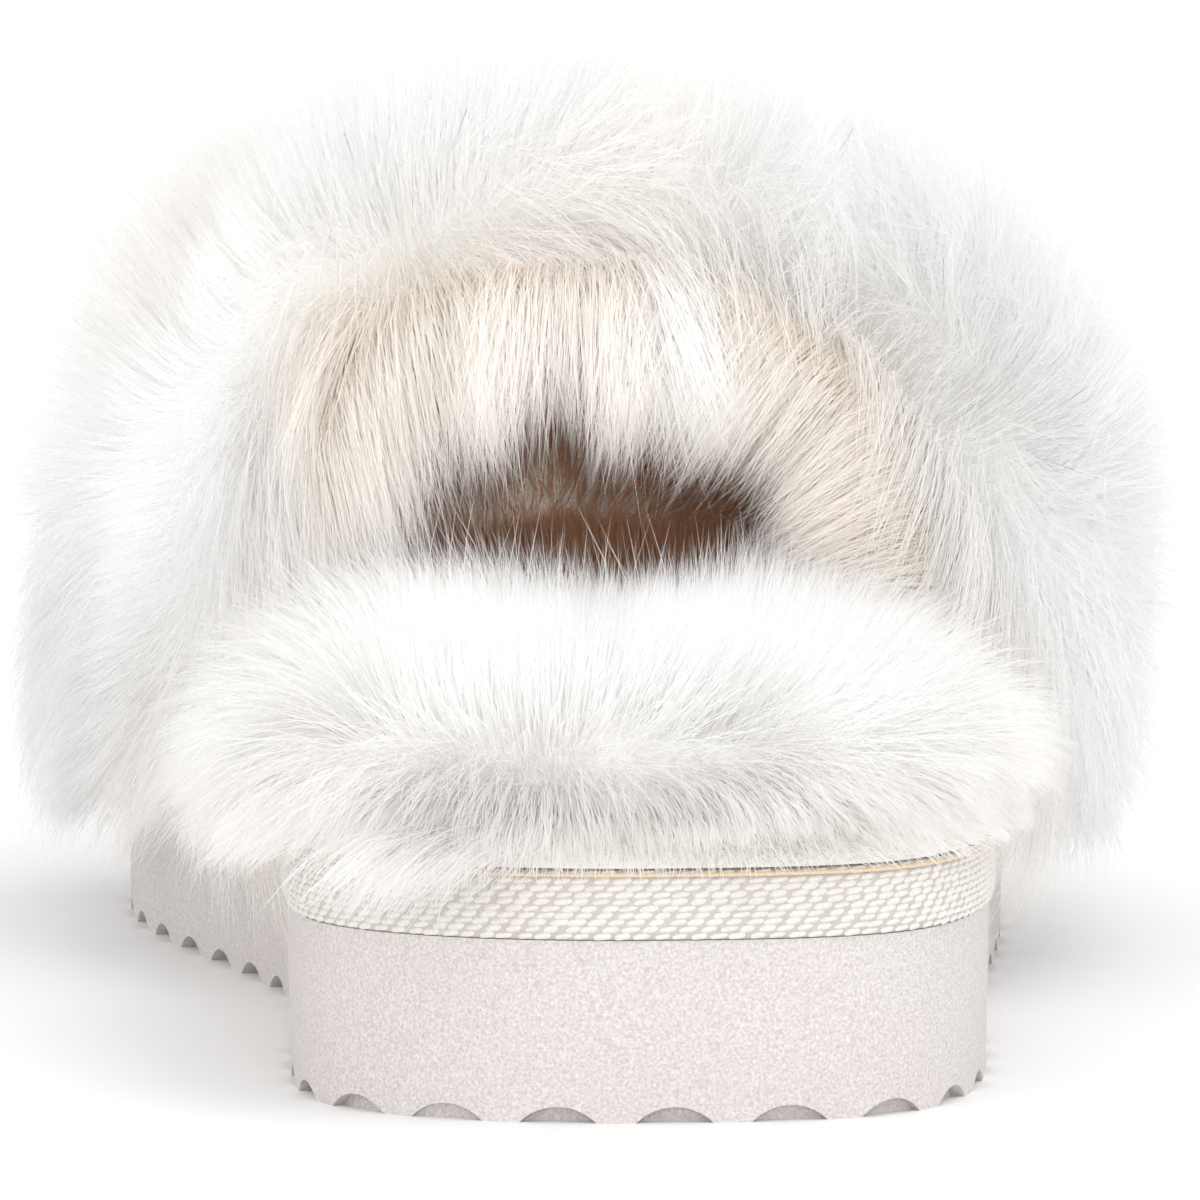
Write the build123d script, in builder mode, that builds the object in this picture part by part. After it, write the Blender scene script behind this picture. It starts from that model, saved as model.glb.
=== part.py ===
from build123d import *
from math import cos, pi, radians, sin, tan
import os

os.makedirs("parts", exist_ok=True)

# Fluffy backless house slipper for the right foot, in millimetres.
# +Y points to the toe, +X to the outer side of the foot, +Z is up and Z = 0 is the floor.
# The origin is the bottom centre of the whole slipper, fur included.

# ---- driving dimensions: sole -------------------------------------------------
sole_length = 264.0
heel_width = 78.4
ball_width = 107.6
heel_centre_x = 5.2
ball_centre_x = -3.4
heel_depth = 36.0  # from the heel's back to where it reaches full width
heel_back_y = -134.2

wall_height = 20.3  # the outsole's side wall
wall_draft = 1.0  # degrees, narrower towards the floor
tread_depth = 3.0
tread_rim = 7.0
scallop_pitch = 13.0
scallop_radius = 6.0
scallop_drop = 4.2  # the scallops' centres lie this far below the floor
scallop_recess = 2.2  # how far the scallops cut into the wall
rib_width = 7.0
rib_pitch = 12.0
rib_clearance = 3.0  # between the ribs' ends and the scalloped rim

tape_height = 7.9
tape_thickness = 1.2
tape_proud = 0.5  # the tape stands out past the outsole's wall
tape_turn_in = 9.0  # width of the tape's margin folded under the platform
tape_fold = 0.8
tape_round = 0.35
board_thickness = 1.5
board_margin = 4.0
cushion_thickness = 4.2
cushion_margin = 4.5
cushion_round = 2.5
thread_size = 0.6
gap = 0.15  # between neighbouring soft pieces
outline_steps = 28  # places at which the sole's outline is moved in or out

# ---- driving dimensions: upper ------------------------------------------------
interlining_thickness = 1.2
upper_margin = 1.0  # the upper stands this far inside the sole's edge
crown_height = 58.0  # crown of the interlining above the platform
apex_place = 0.36  # where the crown is highest, as a share of the sole's length
dome_sections = 8
back_corner = 0.9  # the domes' back corners draw in to this share of their width
crown_reach = 0.92  # how near a dome's last section comes to its very top
side_steepness = 3.0
side_roundness = 0.6
ridge_steepness = 1.5
ridge_roundness = 0.5
lining_side = 9.0  # pile depth of the lining at the sides and toe
lining_crown_share = 0.75  # height of the lining's inner face against the interlining's
topline_lean = 21.0  # degrees that the foot opening leans towards the toe
topline_base = 95.0  # from the heel's back to the foot opening, at the platform
seam_steps = 14
lining_fringe = 6.0  # the lining's pile stands out past the foot opening
topline_thread_inset = 3.0

fur_top = 110.6
fur_apex_place = 0.52  # where the fur is highest, as a share of the sole's length
fur_widest = 38.0  # height at which the upper's fur is widest
fur_bottom = 13.0
fur_side = 15.0
fur_shift = 3.0
fur_toe = 12.9
fur_back = 13.0  # the fur reaches back past the foot opening
fur_back_round = 16.0
fur_back_dip = 4.0  # the back face turns upright once it has leaned this far below the platform
fur_skirt = [(0.0, 0.30), (0.35, 0.78)]  # below its widest: share of height, share of growth

footbed_fur_top = 53.5
footbed_fur_widest = 36.0
footbed_fur_bottom = 26.0
footbed_fur_side = 9.0
mound_clearance = 3.0  # between the heel's fur and the back of the upper's fur
footbed_under_upper = 47.0  # top of the pile inside the upper

# ---- heights and places worked out from them ------------------------------------
platform_top = wall_height + tape_height
foam_top = platform_top - tape_fold
board_top = foam_top + board_thickness
cushion_top = board_top + cushion_thickness
topline_y = heel_back_y + topline_base
apex_y = heel_back_y + apex_place * sole_length
fur_apex_y = heel_back_y + fur_apex_place * sole_length
hollow_back_y = topline_y - 55.0  # well behind the foot opening, which cuts the domes off
toe_y = heel_back_y + sole_length


# ---- the sole's plan ---------------------------------------------------------------
def along(share):
    """Y of the place at this share of the sole's length from the heel."""
    return heel_back_y + share * sole_length


def side(sign, share):
    """X of the sole's outer (+1) or inner (-1) side, from heel (share 0) to ball (share 1)."""
    centre = heel_centre_x + share * (ball_centre_x - heel_centre_x)
    width = heel_width + share * (ball_width - heel_width)
    return centre + sign * width / 2


heel_corner = 0.115 * heel_width
heel_corner_y = heel_back_y + 0.24 * heel_depth
heel_full_y = heel_back_y + heel_depth

# The forefoot from the outer waist round the toe to the inner waist.
forefoot = [
    (side(1, 0.1), along(0.36)),
    (side(1, 1), along(0.66)),
    (side(1, 1) - 13, along(0.885)),
    (ball_centre_x - 6, along(1.0)),
    (side(-1, 1) + 12, along(0.9)),
    (side(-1, 1), along(0.71)),
    (side(-1, 0.05), along(0.38)),
]
heel = [
    (side(-1, 0), heel_full_y),
    (side(-1, 0) + heel_corner, heel_corner_y),
    (heel_centre_x, heel_back_y),
    (side(1, 0) - heel_corner, heel_corner_y),
    (side(1, 0), heel_full_y),
]

with BuildSketch() as sole_plan:
    with BuildLine():
        Spline(*forefoot, *heel, periodic=True)
    make_face()

sole_edge = sole_plan.sketch.faces()[0].outer_wire()


def outward_at(share):
    """The level direction straight out of the sole's edge."""
    return sole_edge.tangent_at(share).cross(Vector(0, 0, 1))


def plan(growth):
    """The sole's outline grown outwards, or drawn in where growth is negative."""
    points = []
    for step in range(outline_steps):
        share = step / outline_steps
        points.append(sole_edge.position_at(share) + outward_at(share) * growth)
    with BuildSketch() as grown:
        with BuildLine():
            Spline(*points, periodic=True)
        make_face()
    return grown.sketch


def slab(growth, bottom, top):
    """An upright solid on the sole's outline between two heights."""
    with BuildPart() as block:
        with BuildSketch(Plane.XY.offset(bottom)):
            add(plan(growth))
        extrude(amount=top - bottom)
    return block.part


def topline_plane(back):
    """The leaning plane of the foot opening, moved back along its normal."""
    lean = radians(topline_lean)
    facing = Vector(0, -cos(lean), sin(lean))
    foot = Vector(0, topline_y, platform_top)
    return Plane(origin=foot + facing * back, z_dir=facing)


# ---- domes over the forefoot ---------------------------------------------------------
def dome_levels(count):
    """Shares of a dome's height, closer together towards the crown, which stays a little flat."""
    quarter_turn = pi / 2
    return [sin(quarter_turn * crown_reach * step / (count - 1)) for step in range(count)]


def narrowing(share):
    """Width of a dome at a share of its height."""
    return (1 - share**side_steepness) ** side_roundness


def shortening(share):
    """Length of a dome, from its apex to the toe, at a share of its height."""
    return (1 - share**ridge_steepness) ** ridge_roundness


def dome_loop(share, apex, back_y, growth, toe_growth=0.0, shift=0.0):
    """A dome's edge at a share of its height: the forefoot's outline, drawn in to the apex."""
    width, length = narrowing(share), shortening(share)
    middle = (side(1, 0.5) + side(-1, 0.5)) / 2
    points = []
    for x, y in forefoot:
        outward = (x - middle) / (ball_width / 2)
        forward = max(0.0, (y - apex) / (toe_y - apex))
        grown_x = x - middle + growth * outward
        grown_y = y - apex + toe_growth * forward**3
        points.append((middle + shift + width * grown_x, apex + length * grown_y))
    first, last = points[0], points[-1]
    start = (middle + shift + back_corner * (first[0] - middle - shift), back_y)
    end = (middle + shift + back_corner * (last[0] - middle - shift), back_y)
    return [start, *points, end]


def loft_loops(levels):
    """A solid through closed loops, each given with its height and flat at the back."""
    with BuildPart() as dome:
        for height, loop in levels:
            with BuildSketch(Plane.XY.offset(height)):
                with BuildLine():
                    Spline(*loop)
                    Line(loop[-1], loop[0])
                make_face()
        loft()
    return dome.part


def upper_dome(growth, height):
    """The space under one layer of the upper, from the platform up to its crown."""
    levels = []
    for share in dome_levels(dome_sections):
        loop = dome_loop(share, apex_y, hollow_back_y, growth, growth)
        levels.append((platform_top + share * height, loop))
    return loft_loops(levels)


def beside_opening(back, depth):
    """A block on the foot opening's plane: behind it, or ahead of it where depth is negative."""
    with BuildPart() as block:
        with BuildSketch(topline_plane(back)):
            Rectangle(3 * ball_width, 3 * ball_width)
        extrude(amount=depth)
    return block.part


# ---- outsole: one moulded foam unit ----------------------------------------------------
with BuildSketch() as inside_rim:
    add(plan(-tread_rim - rib_clearance))

with BuildSketch() as ribs:
    rib_count = int(sole_length / rib_pitch)
    with GridLocations(0, rib_pitch, 1, rib_count):
        Rectangle(2 * ball_width, rib_width)
    add(inside_rim.sketch, mode=Mode.INTERSECT)

with BuildPart() as outsole:
    with BuildSketch():
        add(plan(-wall_height * tan(radians(wall_draft))))
    with BuildSketch(Plane.XY.offset(wall_height)):
        add(plan(0))
    loft()
    with BuildSketch() as tread_well:
        add(plan(-tread_rim))
        add(ribs.sketch, mode=Mode.SUBTRACT)
    extrude(tread_well.sketch, amount=tread_depth, mode=Mode.SUBTRACT)
    scallop_count = round(sole_edge.length / scallop_pitch)
    scallops = []
    for step in range(scallop_count):
        share = step / scallop_count
        centre = sole_edge.position_at(share) - Vector(0, 0, scallop_drop)
        scallops.append(Plane(origin=centre, z_dir=outward_at(share)))
    with Locations(*scallops):
        Cylinder(scallop_radius, 2 * scallop_recess, mode=Mode.SUBTRACT)

# ---- platform: tape, foam, board and cushion ---------------------------------------------
with BuildPart() as platform_tape:
    add(slab(tape_proud, wall_height, platform_top))
    add(slab(tape_proud - tape_thickness, wall_height + tape_fold, platform_top), mode=Mode.SUBTRACT)
    add(slab(-tape_turn_in, wall_height, wall_height + tape_fold), mode=Mode.SUBTRACT)
    outer_rims = platform_tape.edges().sort_by(SortBy.LENGTH)[-2:]
    fillet(outer_rims, radius=tape_round)

with BuildPart() as platform_foam:
    add(slab(tape_proud - tape_thickness - gap / 2, wall_height + tape_fold, foam_top))
    add(slab(-tape_turn_in - gap, wall_height, wall_height + tape_fold))

with BuildPart() as insole_board:
    add(slab(-board_margin, foam_top, board_top))

with BuildPart() as footbed_cushion:
    add(slab(-cushion_margin, board_top, cushion_top))
    fillet(footbed_cushion.faces().sort_by(Axis.Z)[-1].edges(), radius=cushion_round)

with BuildPart() as sock_seam_thread:
    add(slab(tape_proud + thread_size, platform_top - 2 * thread_size, platform_top - thread_size))
    add(
        slab(tape_proud, platform_top - 2 * thread_size, platform_top - thread_size),
        mode=Mode.SUBTRACT,
    )

# ---- upper: interlining, its seam and the lining ------------------------------------------
inside_interlining = -upper_margin - interlining_thickness
lining_outer_side = inside_interlining - gap
lining_inner_side = lining_outer_side - lining_side

with BuildPart() as vamp_interlining:
    add(upper_dome(-upper_margin, crown_height))
    add(beside_opening(0, sole_length), mode=Mode.SUBTRACT)
    add(upper_dome(inside_interlining, crown_height - interlining_thickness), mode=Mode.SUBTRACT)

# The thread runs along the interlining's raw edge, halfway through its thickness.
with BuildPart() as seam_core:
    add(
        upper_dome(
            -upper_margin - interlining_thickness / 2, crown_height - interlining_thickness / 2
        )
    )
    add(beside_opening(gap + thread_size / 2, sole_length), mode=Mode.SUBTRACT)

opening_faces = topline_plane(0).z_dir
seam_face = seam_core.faces().sort_by(lambda face: face.normal_at().dot(opening_faces))[-1]
seam_arch = Wire(seam_face.edges().sort_by(Axis.Z)[1:])

with BuildPart() as topline_seam_thread:
    with BuildLine() as seam_line:
        Spline(*[seam_arch.position_at(step / seam_steps) for step in range(seam_steps + 1)])
    with BuildSketch(Plane(origin=seam_line.line @ 0, z_dir=seam_line.line % 0)):
        Circle(thread_size / 2)
    sweep()

with BuildPart() as vamp_lining:
    add(upper_dome(lining_outer_side, crown_height - interlining_thickness - gap))
    add(beside_opening(lining_fringe, sole_length), mode=Mode.SUBTRACT)
    add(upper_dome(lining_inner_side, crown_height * lining_crown_share), mode=Mode.SUBTRACT)
    add(slab(-board_margin + gap, 0, cushion_top + gap), mode=Mode.SUBTRACT)

# ---- upper: outer fur ------------------------------------------------------------------------
def fur_back_y(height, narrow):
    """The fur's back face follows the leaning foot opening and rounds off at its rims."""
    lean = max((height - platform_top) * tan(radians(topline_lean)), -fur_back_dip)
    return topline_y + lean - fur_back + fur_back_round * (1 - narrow)


fur_levels = []
for height_share, growth_share in fur_skirt:
    skirt_height = fur_bottom + height_share * (fur_widest - fur_bottom)
    skirt_loop = dome_loop(
        0,
        fur_apex_y,
        fur_back_y(skirt_height, growth_share),
        fur_side * growth_share,
        fur_toe * growth_share,
        fur_shift * growth_share,
    )
    fur_levels.append((skirt_height, skirt_loop))
for level in dome_levels(dome_sections):
    dome_height = fur_widest + level * (fur_top - fur_widest)
    back_y = fur_back_y(dome_height, narrowing(level))
    fur_levels.append(
        (dome_height, dome_loop(level, fur_apex_y, back_y, fur_side, fur_toe, fur_shift))
    )

with BuildPart() as vamp_fur:
    add(loft_loops(fur_levels))
    add(upper_dome(gap - upper_margin, crown_height + gap), mode=Mode.SUBTRACT)
    add(slab(tape_proud + thread_size + gap, 0, platform_top + gap), mode=Mode.SUBTRACT)

# ---- footbed fur ---------------------------------------------------------------------------------
with BuildPart() as heel_mound:
    add(slab(footbed_fur_side, footbed_fur_bottom, footbed_fur_top))
    rims = heel_mound.edges().filter_by(GeomType.LINE, reverse=True).group_by(Axis.Z)
    fillet(rims[-1], radius=footbed_fur_top - footbed_fur_widest)
    fillet(rims[0], radius=0.9 * (footbed_fur_widest - footbed_fur_bottom))
    add(beside_opening(fur_back + mound_clearance, -sole_length), mode=Mode.SUBTRACT)

with BuildPart() as footbed_fur:
    add(upper_dome(lining_inner_side - gap, crown_height * lining_crown_share - gap))
    add(slab(-board_margin, cushion_top, footbed_under_upper), mode=Mode.INTERSECT)
    add(heel_mound.part)
    add(slab(tape_proud + thread_size + gap, 0, platform_top + gap), mode=Mode.SUBTRACT)
    add(slab(-board_margin + gap, 0, cushion_top + gap), mode=Mode.SUBTRACT)

finished = {
    "outsole": outsole,
    "platform_tape": platform_tape,
    "platform_foam": platform_foam,
    "insole_board": insole_board,
    "footbed_cushion": footbed_cushion,
    "sock_seam_thread": sock_seam_thread,
    "footbed_fur": footbed_fur,
    "vamp_interlining": vamp_interlining,
    "topline_seam_thread": topline_seam_thread,
    "vamp_lining": vamp_lining,
    "vamp_fur": vamp_fur,
}
for label, piece in finished.items():
    piece.part.label = label
    export_step(piece.part, f"parts/{label}.step")
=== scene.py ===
import math
from collections import namedtuple

import bpy
import numpy as np
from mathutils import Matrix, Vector
from mathutils.bvhtree import BVHTree
from mathutils.kdtree import KDTree


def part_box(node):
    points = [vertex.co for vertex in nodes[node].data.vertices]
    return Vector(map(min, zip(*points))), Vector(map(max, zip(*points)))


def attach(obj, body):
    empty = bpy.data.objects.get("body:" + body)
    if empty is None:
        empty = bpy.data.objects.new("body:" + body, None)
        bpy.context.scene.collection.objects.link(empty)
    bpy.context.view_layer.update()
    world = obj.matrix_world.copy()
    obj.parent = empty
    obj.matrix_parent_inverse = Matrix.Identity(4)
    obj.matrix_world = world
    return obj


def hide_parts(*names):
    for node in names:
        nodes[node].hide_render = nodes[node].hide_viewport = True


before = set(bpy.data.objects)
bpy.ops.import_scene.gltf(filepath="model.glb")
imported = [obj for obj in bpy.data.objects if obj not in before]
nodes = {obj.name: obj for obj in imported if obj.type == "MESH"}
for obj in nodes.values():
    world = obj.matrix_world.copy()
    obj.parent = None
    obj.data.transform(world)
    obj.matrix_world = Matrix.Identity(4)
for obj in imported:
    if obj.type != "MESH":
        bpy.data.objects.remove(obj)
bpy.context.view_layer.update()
MM = 0.001
UP = np.array([0.0, 0.0, 1.0])
TOEWARD = np.array([0.0, 1.0, 0.0])
RIGHT = np.array([1.0, 0.0, 0.0])


# ==== small helpers =================================================================
def unit(v):
    """Vectors scaled to length 1 along the last axis."""
    return v / np.maximum(np.linalg.norm(v, axis=-1, keepdims=True), 1e-12)


def ramp(x, low, high):
    """0 below low, 1 above high, smooth between."""
    t = np.clip((x - low) / (high - low), 0.0, 1.0)
    return t * t * (3 - 2 * t)


def lerp(a, b, t):
    """The value that lies the share t of the way from a to b."""
    return a + (b - a) * t


def column(values):
    """Numbers as a column, to scale rows of vectors."""
    return np.asarray(values)[:, None]


def waves(place, cell, rng, parts=14):
    """Smooth random directions that change over about one cell: (count, 3), each about -1 to 1."""
    out = np.zeros((len(place), 3))
    for _ in range(parts):
        heading = unit(rng.normal(size=3)) * rng.uniform(0.6, 1.5) * 2 * math.pi / (2 * cell)
        phase = rng.uniform(0, 2 * math.pi)
        out += np.sin(place @ heading + phase)[:, None] * rng.normal(size=3)
    return out / math.sqrt(parts / 2)


# ==== what the CAD frame gives ======================================================
def triangles(node):
    """Corner points and corner normals of a CAD node, each (count, 3, 3)."""
    mesh = nodes[node].data
    mesh.calc_loop_triangles()
    points = np.empty(len(mesh.vertices) * 3)
    mesh.vertices.foreach_get("co", points)
    normals = np.empty(len(mesh.loops) * 3)
    mesh.corner_normals.foreach_get("vector", normals)
    corners = np.empty(len(mesh.loop_triangles) * 3, dtype=np.int64)
    mesh.loop_triangles.foreach_get("vertices", corners)
    loops = np.empty(len(mesh.loop_triangles) * 3, dtype=np.int64)
    mesh.loop_triangles.foreach_get("loops", loops)
    points = points.reshape(-1, 3)[corners].reshape(-1, 3, 3)
    return points, normals.reshape(-1, 3)[loops].reshape(-1, 3, 3)


def tree_of(node):
    """The surface of a CAD node, ready for ray casts."""
    points, _ = triangles(node)
    flat = points.reshape(-1, 3)
    faces = np.arange(len(flat)).reshape(-1, 3)
    return BVHTree.FromPolygons(flat.tolist(), faces.tolist())


def scatter(points, normals, weight, count, rng):
    """Random places on triangles: where they are and the surface normal there."""
    sides = points[:, 1] - points[:, 0], points[:, 2] - points[:, 0]
    share = np.linalg.norm(np.cross(*sides), axis=1) * weight
    chosen = rng.choice(len(points), size=count, p=share / share.sum())
    a, b = rng.random(count), rng.random(count)
    flip = a + b > 1
    a[flip], b[flip] = 1 - a[flip], 1 - b[flip]
    bary = np.stack([1 - a - b, a, b], axis=1)[:, :, None]
    place = (points[chosen] * bary).sum(axis=1)
    return place, unit((normals[chosen] * bary).sum(axis=1))


EDGE_STEPS = 1200
EDGE_SMOOTHING = 5
# Corners of the outsole's top that lie nearer to its middle than this are not on its outline.
LEAST_REACH = 20 * MM


def sole_outline():
    """Evenly spaced points round the outsole's top edge, the outward direction at each, its length."""
    points, _ = triangles("outsole")
    flat = points.reshape(-1, 3)
    flat = flat[flat[:, 2] > flat[:, 2].max() - 0.01 * MM][:, :2]
    middle = flat.mean(axis=0)
    angle = np.arctan2(flat[:, 1] - middle[1], flat[:, 0] - middle[0])
    reach = np.linalg.norm(flat - middle, axis=1)
    _, first = np.unique(np.round(angle, 4), return_index=True)
    keep = sorted((i for i in first if reach[i] > LEAST_REACH), key=lambda i: angle[i])
    loop = np.vstack([flat[keep], flat[keep[:1]]])
    walked = np.concatenate([[0], np.cumsum(np.linalg.norm(np.diff(loop, axis=0), axis=1))])
    stops = np.linspace(0, walked[-1], EDGE_STEPS, endpoint=False)
    edge = np.stack([np.interp(stops, walked, loop[:, k]) for k in (0, 1)], axis=1)
    along = np.roll(edge, -EDGE_SMOOTHING, axis=0) - np.roll(edge, EDGE_SMOOTHING, axis=0)
    outward = unit(np.stack([along[:, 1], -along[:, 0]], axis=1))
    return edge, outward, walked[-1]


edge, edge_out, edge_length = sole_outline()
edge_tree = KDTree(EDGE_STEPS)
for index, (x, y) in enumerate(edge):
    edge_tree.insert((x, y, 0.0), index)
edge_tree.balance()


def from_edge(place):
    """Distance inside the sole's edge and the outward direction there."""
    near = np.array([edge_tree.find((x, y, 0.0))[1] for x, y, _ in place])
    inside = ((edge[near] - place[:, :2]) * edge_out[near]).sum(axis=1)
    outward = np.concatenate([edge_out[near], np.zeros((len(near), 1))], axis=1)
    return inside, outward


def on_edge(walked, out, height):
    """Points beside the sole's edge: how far round, how far out, and how high."""
    share = np.asarray(walked) / edge_length * EDGE_STEPS
    low = np.floor(share).astype(int)
    part = column(share - low)
    a, b = low % EDGE_STEPS, (low + 1) % EDGE_STEPS
    flat = lerp(edge[a], edge[b], part) + column(out) * lerp(edge_out[a], edge_out[b], part)
    return np.column_stack([flat, height])


shell_points, shell_normals = triangles("vamp_interlining")
low_shell, high_shell = (np.array(p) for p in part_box("vamp_interlining"))
tape_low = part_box("platform_tape")[0][2]
platform_top = low_shell[2]
axis_x = (low_shell[0] + high_shell[0]) / 2
TOE_ROOM = 55 * MM
CENTRE_RISE = 4 * MM
toe_centre_y = high_shell[1] - TOE_ROOM
opening_foot = np.array([0.0, low_shell[1], platform_top])
OPENING_LEAN = math.radians(21.0)
opening_facing = np.array([0.0, -math.cos(OPENING_LEAN), math.sin(OPENING_LEAN)])


def ahead_of_opening(place):
    """How far a place lies inside the foot opening, towards the toe."""
    return -(place - opening_foot) @ opening_facing


# A zone is where a ramp leaves 0 and where it reaches 1.
UPPER_STANDS_ZONE = (-6 * MM, 2 * MM)


def under_upper(place):
    """0 where the platform is open, 1 where the upper stands on it, smooth between."""
    return ramp(ahead_of_opening(place), *UPPER_STANDS_ZONE)


def from_axis(place):
    """Direction from the middle of the foot room to each place."""
    centre = np.column_stack(
        [
            np.full(len(place), axis_x),
            np.minimum(place[:, 1], toe_centre_y),
            np.full(len(place), platform_top + CENTRE_RISE),
        ]
    )
    return unit(place - centre)


# A face of the interlining belongs to its raw edge when it faces the foot opening this squarely,
# and to its outer or inner side when it faces away from or towards the foot room by this much.
FACING_OPENING = 0.93
FACING_OUT = 0.15
face_middle = shell_points.mean(axis=1)
face_normal = unit(shell_normals.mean(axis=1))
outwardness = (face_normal * from_axis(face_middle)).sum(axis=1)
raw_edge = np.abs(face_normal @ opening_facing) > FACING_OPENING
outer_face = (outwardness > FACING_OUT) & ~raw_edge
inner_face = (outwardness < -FACING_OUT) & ~raw_edge


# ==== meshes and strands ============================================================
def riding(name, mesh, material):
    """A piece that rides on the one body, with its material."""
    mesh.materials.append(material)
    piece = bpy.data.objects.new(name, mesh)
    bpy.context.scene.collection.objects.link(piece)
    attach(piece, "root")
    return piece


def mesh_piece(name, points, faces, material):
    """A smooth-shaded piece from its points and faces."""
    mesh = bpy.data.meshes.new(name)
    mesh.from_pydata([tuple(p) for p in points], [], [tuple(f) for f in faces])
    mesh.polygons.foreach_set("use_smooth", [True] * len(faces))
    mesh.update()
    return riding(name, mesh, material)


def grid_quads(rows, columns):
    """Faces of a grid of points that is numbered row by row: (count, 4)."""
    corner = np.arange(rows * columns).reshape(rows, columns)
    quads = [corner[:-1, :-1], corner[:-1, 1:], corner[1:, 1:], corner[1:, :-1]]
    return np.stack(quads, axis=-1).reshape(-1, 4)


def set_uv(mesh, uv):
    """Gives a mesh its one UV layer, from a row of u and v for each face corner."""
    layer = mesh.uv_layers.new(name="OFBake")
    layer.data.foreach_set("uv", uv.reshape(-1).astype(np.float32))


def reach_to(node, place, direction, skip, missing):
    """Distance from each place along its direction to the skin of a CAD node.
    A ray starts ahead of its place by skip; where it hits nothing, the distance is missing."""
    tree = tree_of(node)
    start = place + direction * skip
    out = np.empty(len(place))
    for i in range(len(place)):
        hit = tree.ray_cast(Vector(start[i]), Vector(direction[i]))
        out[i] = missing if hit[3] is None else hit[3] + skip
    return out


def nearest_guides(place, spacing_share, rng):
    """For each root the index of the nearest of a few chosen roots."""
    count = max(3, int(len(place) * spacing_share))
    chosen = rng.choice(len(place), size=count, replace=False)
    tree = KDTree(len(chosen))
    for i in chosen:
        tree.insert(place[i], int(i))
    tree.balance()
    return np.array([tree.find(p)[1] for p in place])


STEPS = 4
EARLY_BEND = 0.8


def curves(place, first, last, length):
    """Strand centre lines that leave along first and turn towards last: (count, STEPS + 1, 3)."""
    t = np.linspace(0, 1, STEPS + 1)
    line = np.empty((len(place), STEPS + 1, 3))
    line[:, 0] = place
    for k in range(STEPS):
        middle = ((t[k] + t[k + 1]) / 2) ** EARLY_BEND
        step = unit(lerp(first, last, middle)) * column(length / STEPS)
        line[:, k + 1] = line[:, k] + step
    return line


def ruffle(line, length, amount, rng):
    """Gives each strand its own bow to one side and back, so neighbours cross."""
    t = np.linspace(0, 1, STEPS + 1)[None, :, None]
    bow = rng.normal(size=(len(line), 1, 3)) * np.asarray(length).reshape(-1, 1, 1) * amount
    stray = rng.normal(size=(len(line), 1, 3)) * np.asarray(length).reshape(-1, 1, 1) * amount
    return line + bow * np.sin(math.pi * t) * t + stray * t**2


def gather(line, guide, strength, power):
    """Draws each strand towards its guide strand, more so at the tip."""
    t = np.linspace(0, 1, line.shape[1])[None, :, None]
    pull = np.asarray(strength).reshape(-1, 1, 1) * t**power
    return line + (line[guide] - line) * pull


# Tips that would reach past the ceiling, less the squeeze, are pressed together between the two.
FUR_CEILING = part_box("vamp_fur")[1][2] + 14.4 * MM
SQUEEZE = 9 * MM
LOWEST_TIP = 1 * MM


def keep_clear(line):
    """Bends the highest tips over below the ceiling and keeps the lowest off the floor."""
    over = np.maximum(line[:, :, 2] - (FUR_CEILING - SQUEEZE), 0)
    line[:, :, 2] -= over - SQUEEZE * (1 - np.exp(-over / SQUEEZE))
    line[:, :, 2] = np.maximum(line[:, :, 2], LOWEST_TIP)
    return line


# A strand loses this share of its width towards its tip, and is turned at random by this much.
TAPER = 0.62
TAPER_POWER = 1.8
TWIST = 0.9
# The UV layer is cut into bands across, one for each tint; a strand stays inside its band.
TINT_BANDS = 64
BAND_REACH = 0.4
UV_MARGIN = 0.02


def strand_faces(count):
    """Corner numbers and face sizes of the strands: quads up each strand and a triangle at its tip."""
    quads = [[2 * k, 2 * k + 1, 2 * k + 3, 2 * k + 2] for k in range(STEPS - 1)]
    tip = [2 * STEPS - 2, 2 * STEPS - 1, 2 * STEPS]
    base = column(np.arange(count) * (2 * STEPS + 1))
    corners = (base + np.array([*sum(quads, []), *tip])[None, :]).reshape(-1)
    return corners, np.tile(np.array([4] * (STEPS - 1) + [3]), count)


def strand_uv(tint):
    """For each point of the strands: u lies in the band of its strand's tint, v runs root to tip."""
    t = np.linspace(0, 1, STEPS + 1)
    band = (np.floor(np.clip(tint, 0, 0.999) * TINT_BANDS) + 0.5) / TINT_BANDS
    beside = np.append(np.tile([-BAND_REACH, BAND_REACH], STEPS), 0.0) / TINT_BANDS
    up = np.append(np.repeat(UV_MARGIN + (1 - 2 * UV_MARGIN) * t[:STEPS], 2), 1 - UV_MARGIN)
    u = (column(band) + beside[None, :]).reshape(-1)
    return np.column_stack([u, np.tile(up, len(tint))])


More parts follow.
